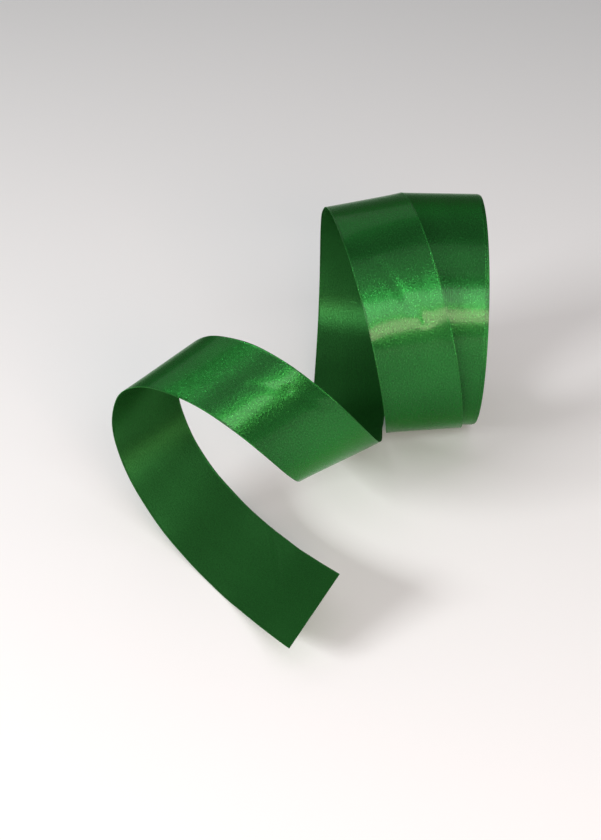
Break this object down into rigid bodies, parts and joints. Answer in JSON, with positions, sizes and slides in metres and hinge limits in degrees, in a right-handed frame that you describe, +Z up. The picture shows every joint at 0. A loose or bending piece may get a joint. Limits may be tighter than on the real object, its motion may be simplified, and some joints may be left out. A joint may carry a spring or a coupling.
{
  "type": "roll of ribbon",
  "caption": "Roll of satin ribbon standing on its rolling side, its outer turn loose and its free end curled out on the surface.",
  "frame": {"origin": "middle of the flat spot under the roll, on the surface that it stands on", "axes": "+X along the roll's axis towards its neat right end, +Z up, -Y towards the curled free end"},
  "size_m": [0.1732, 0.287, 0.1201],
  "materials": {
    "wound_ribbon": "green single-faced satin, wound flat",
    "loose_ribbon": "green single-faced satin, bright outer face and duller inner face"
  },
  "bodies": {
    "root": {"wound_roll": "wound_ribbon", "loose_end": "loose_ribbon"}
  },
  "joints": []
}
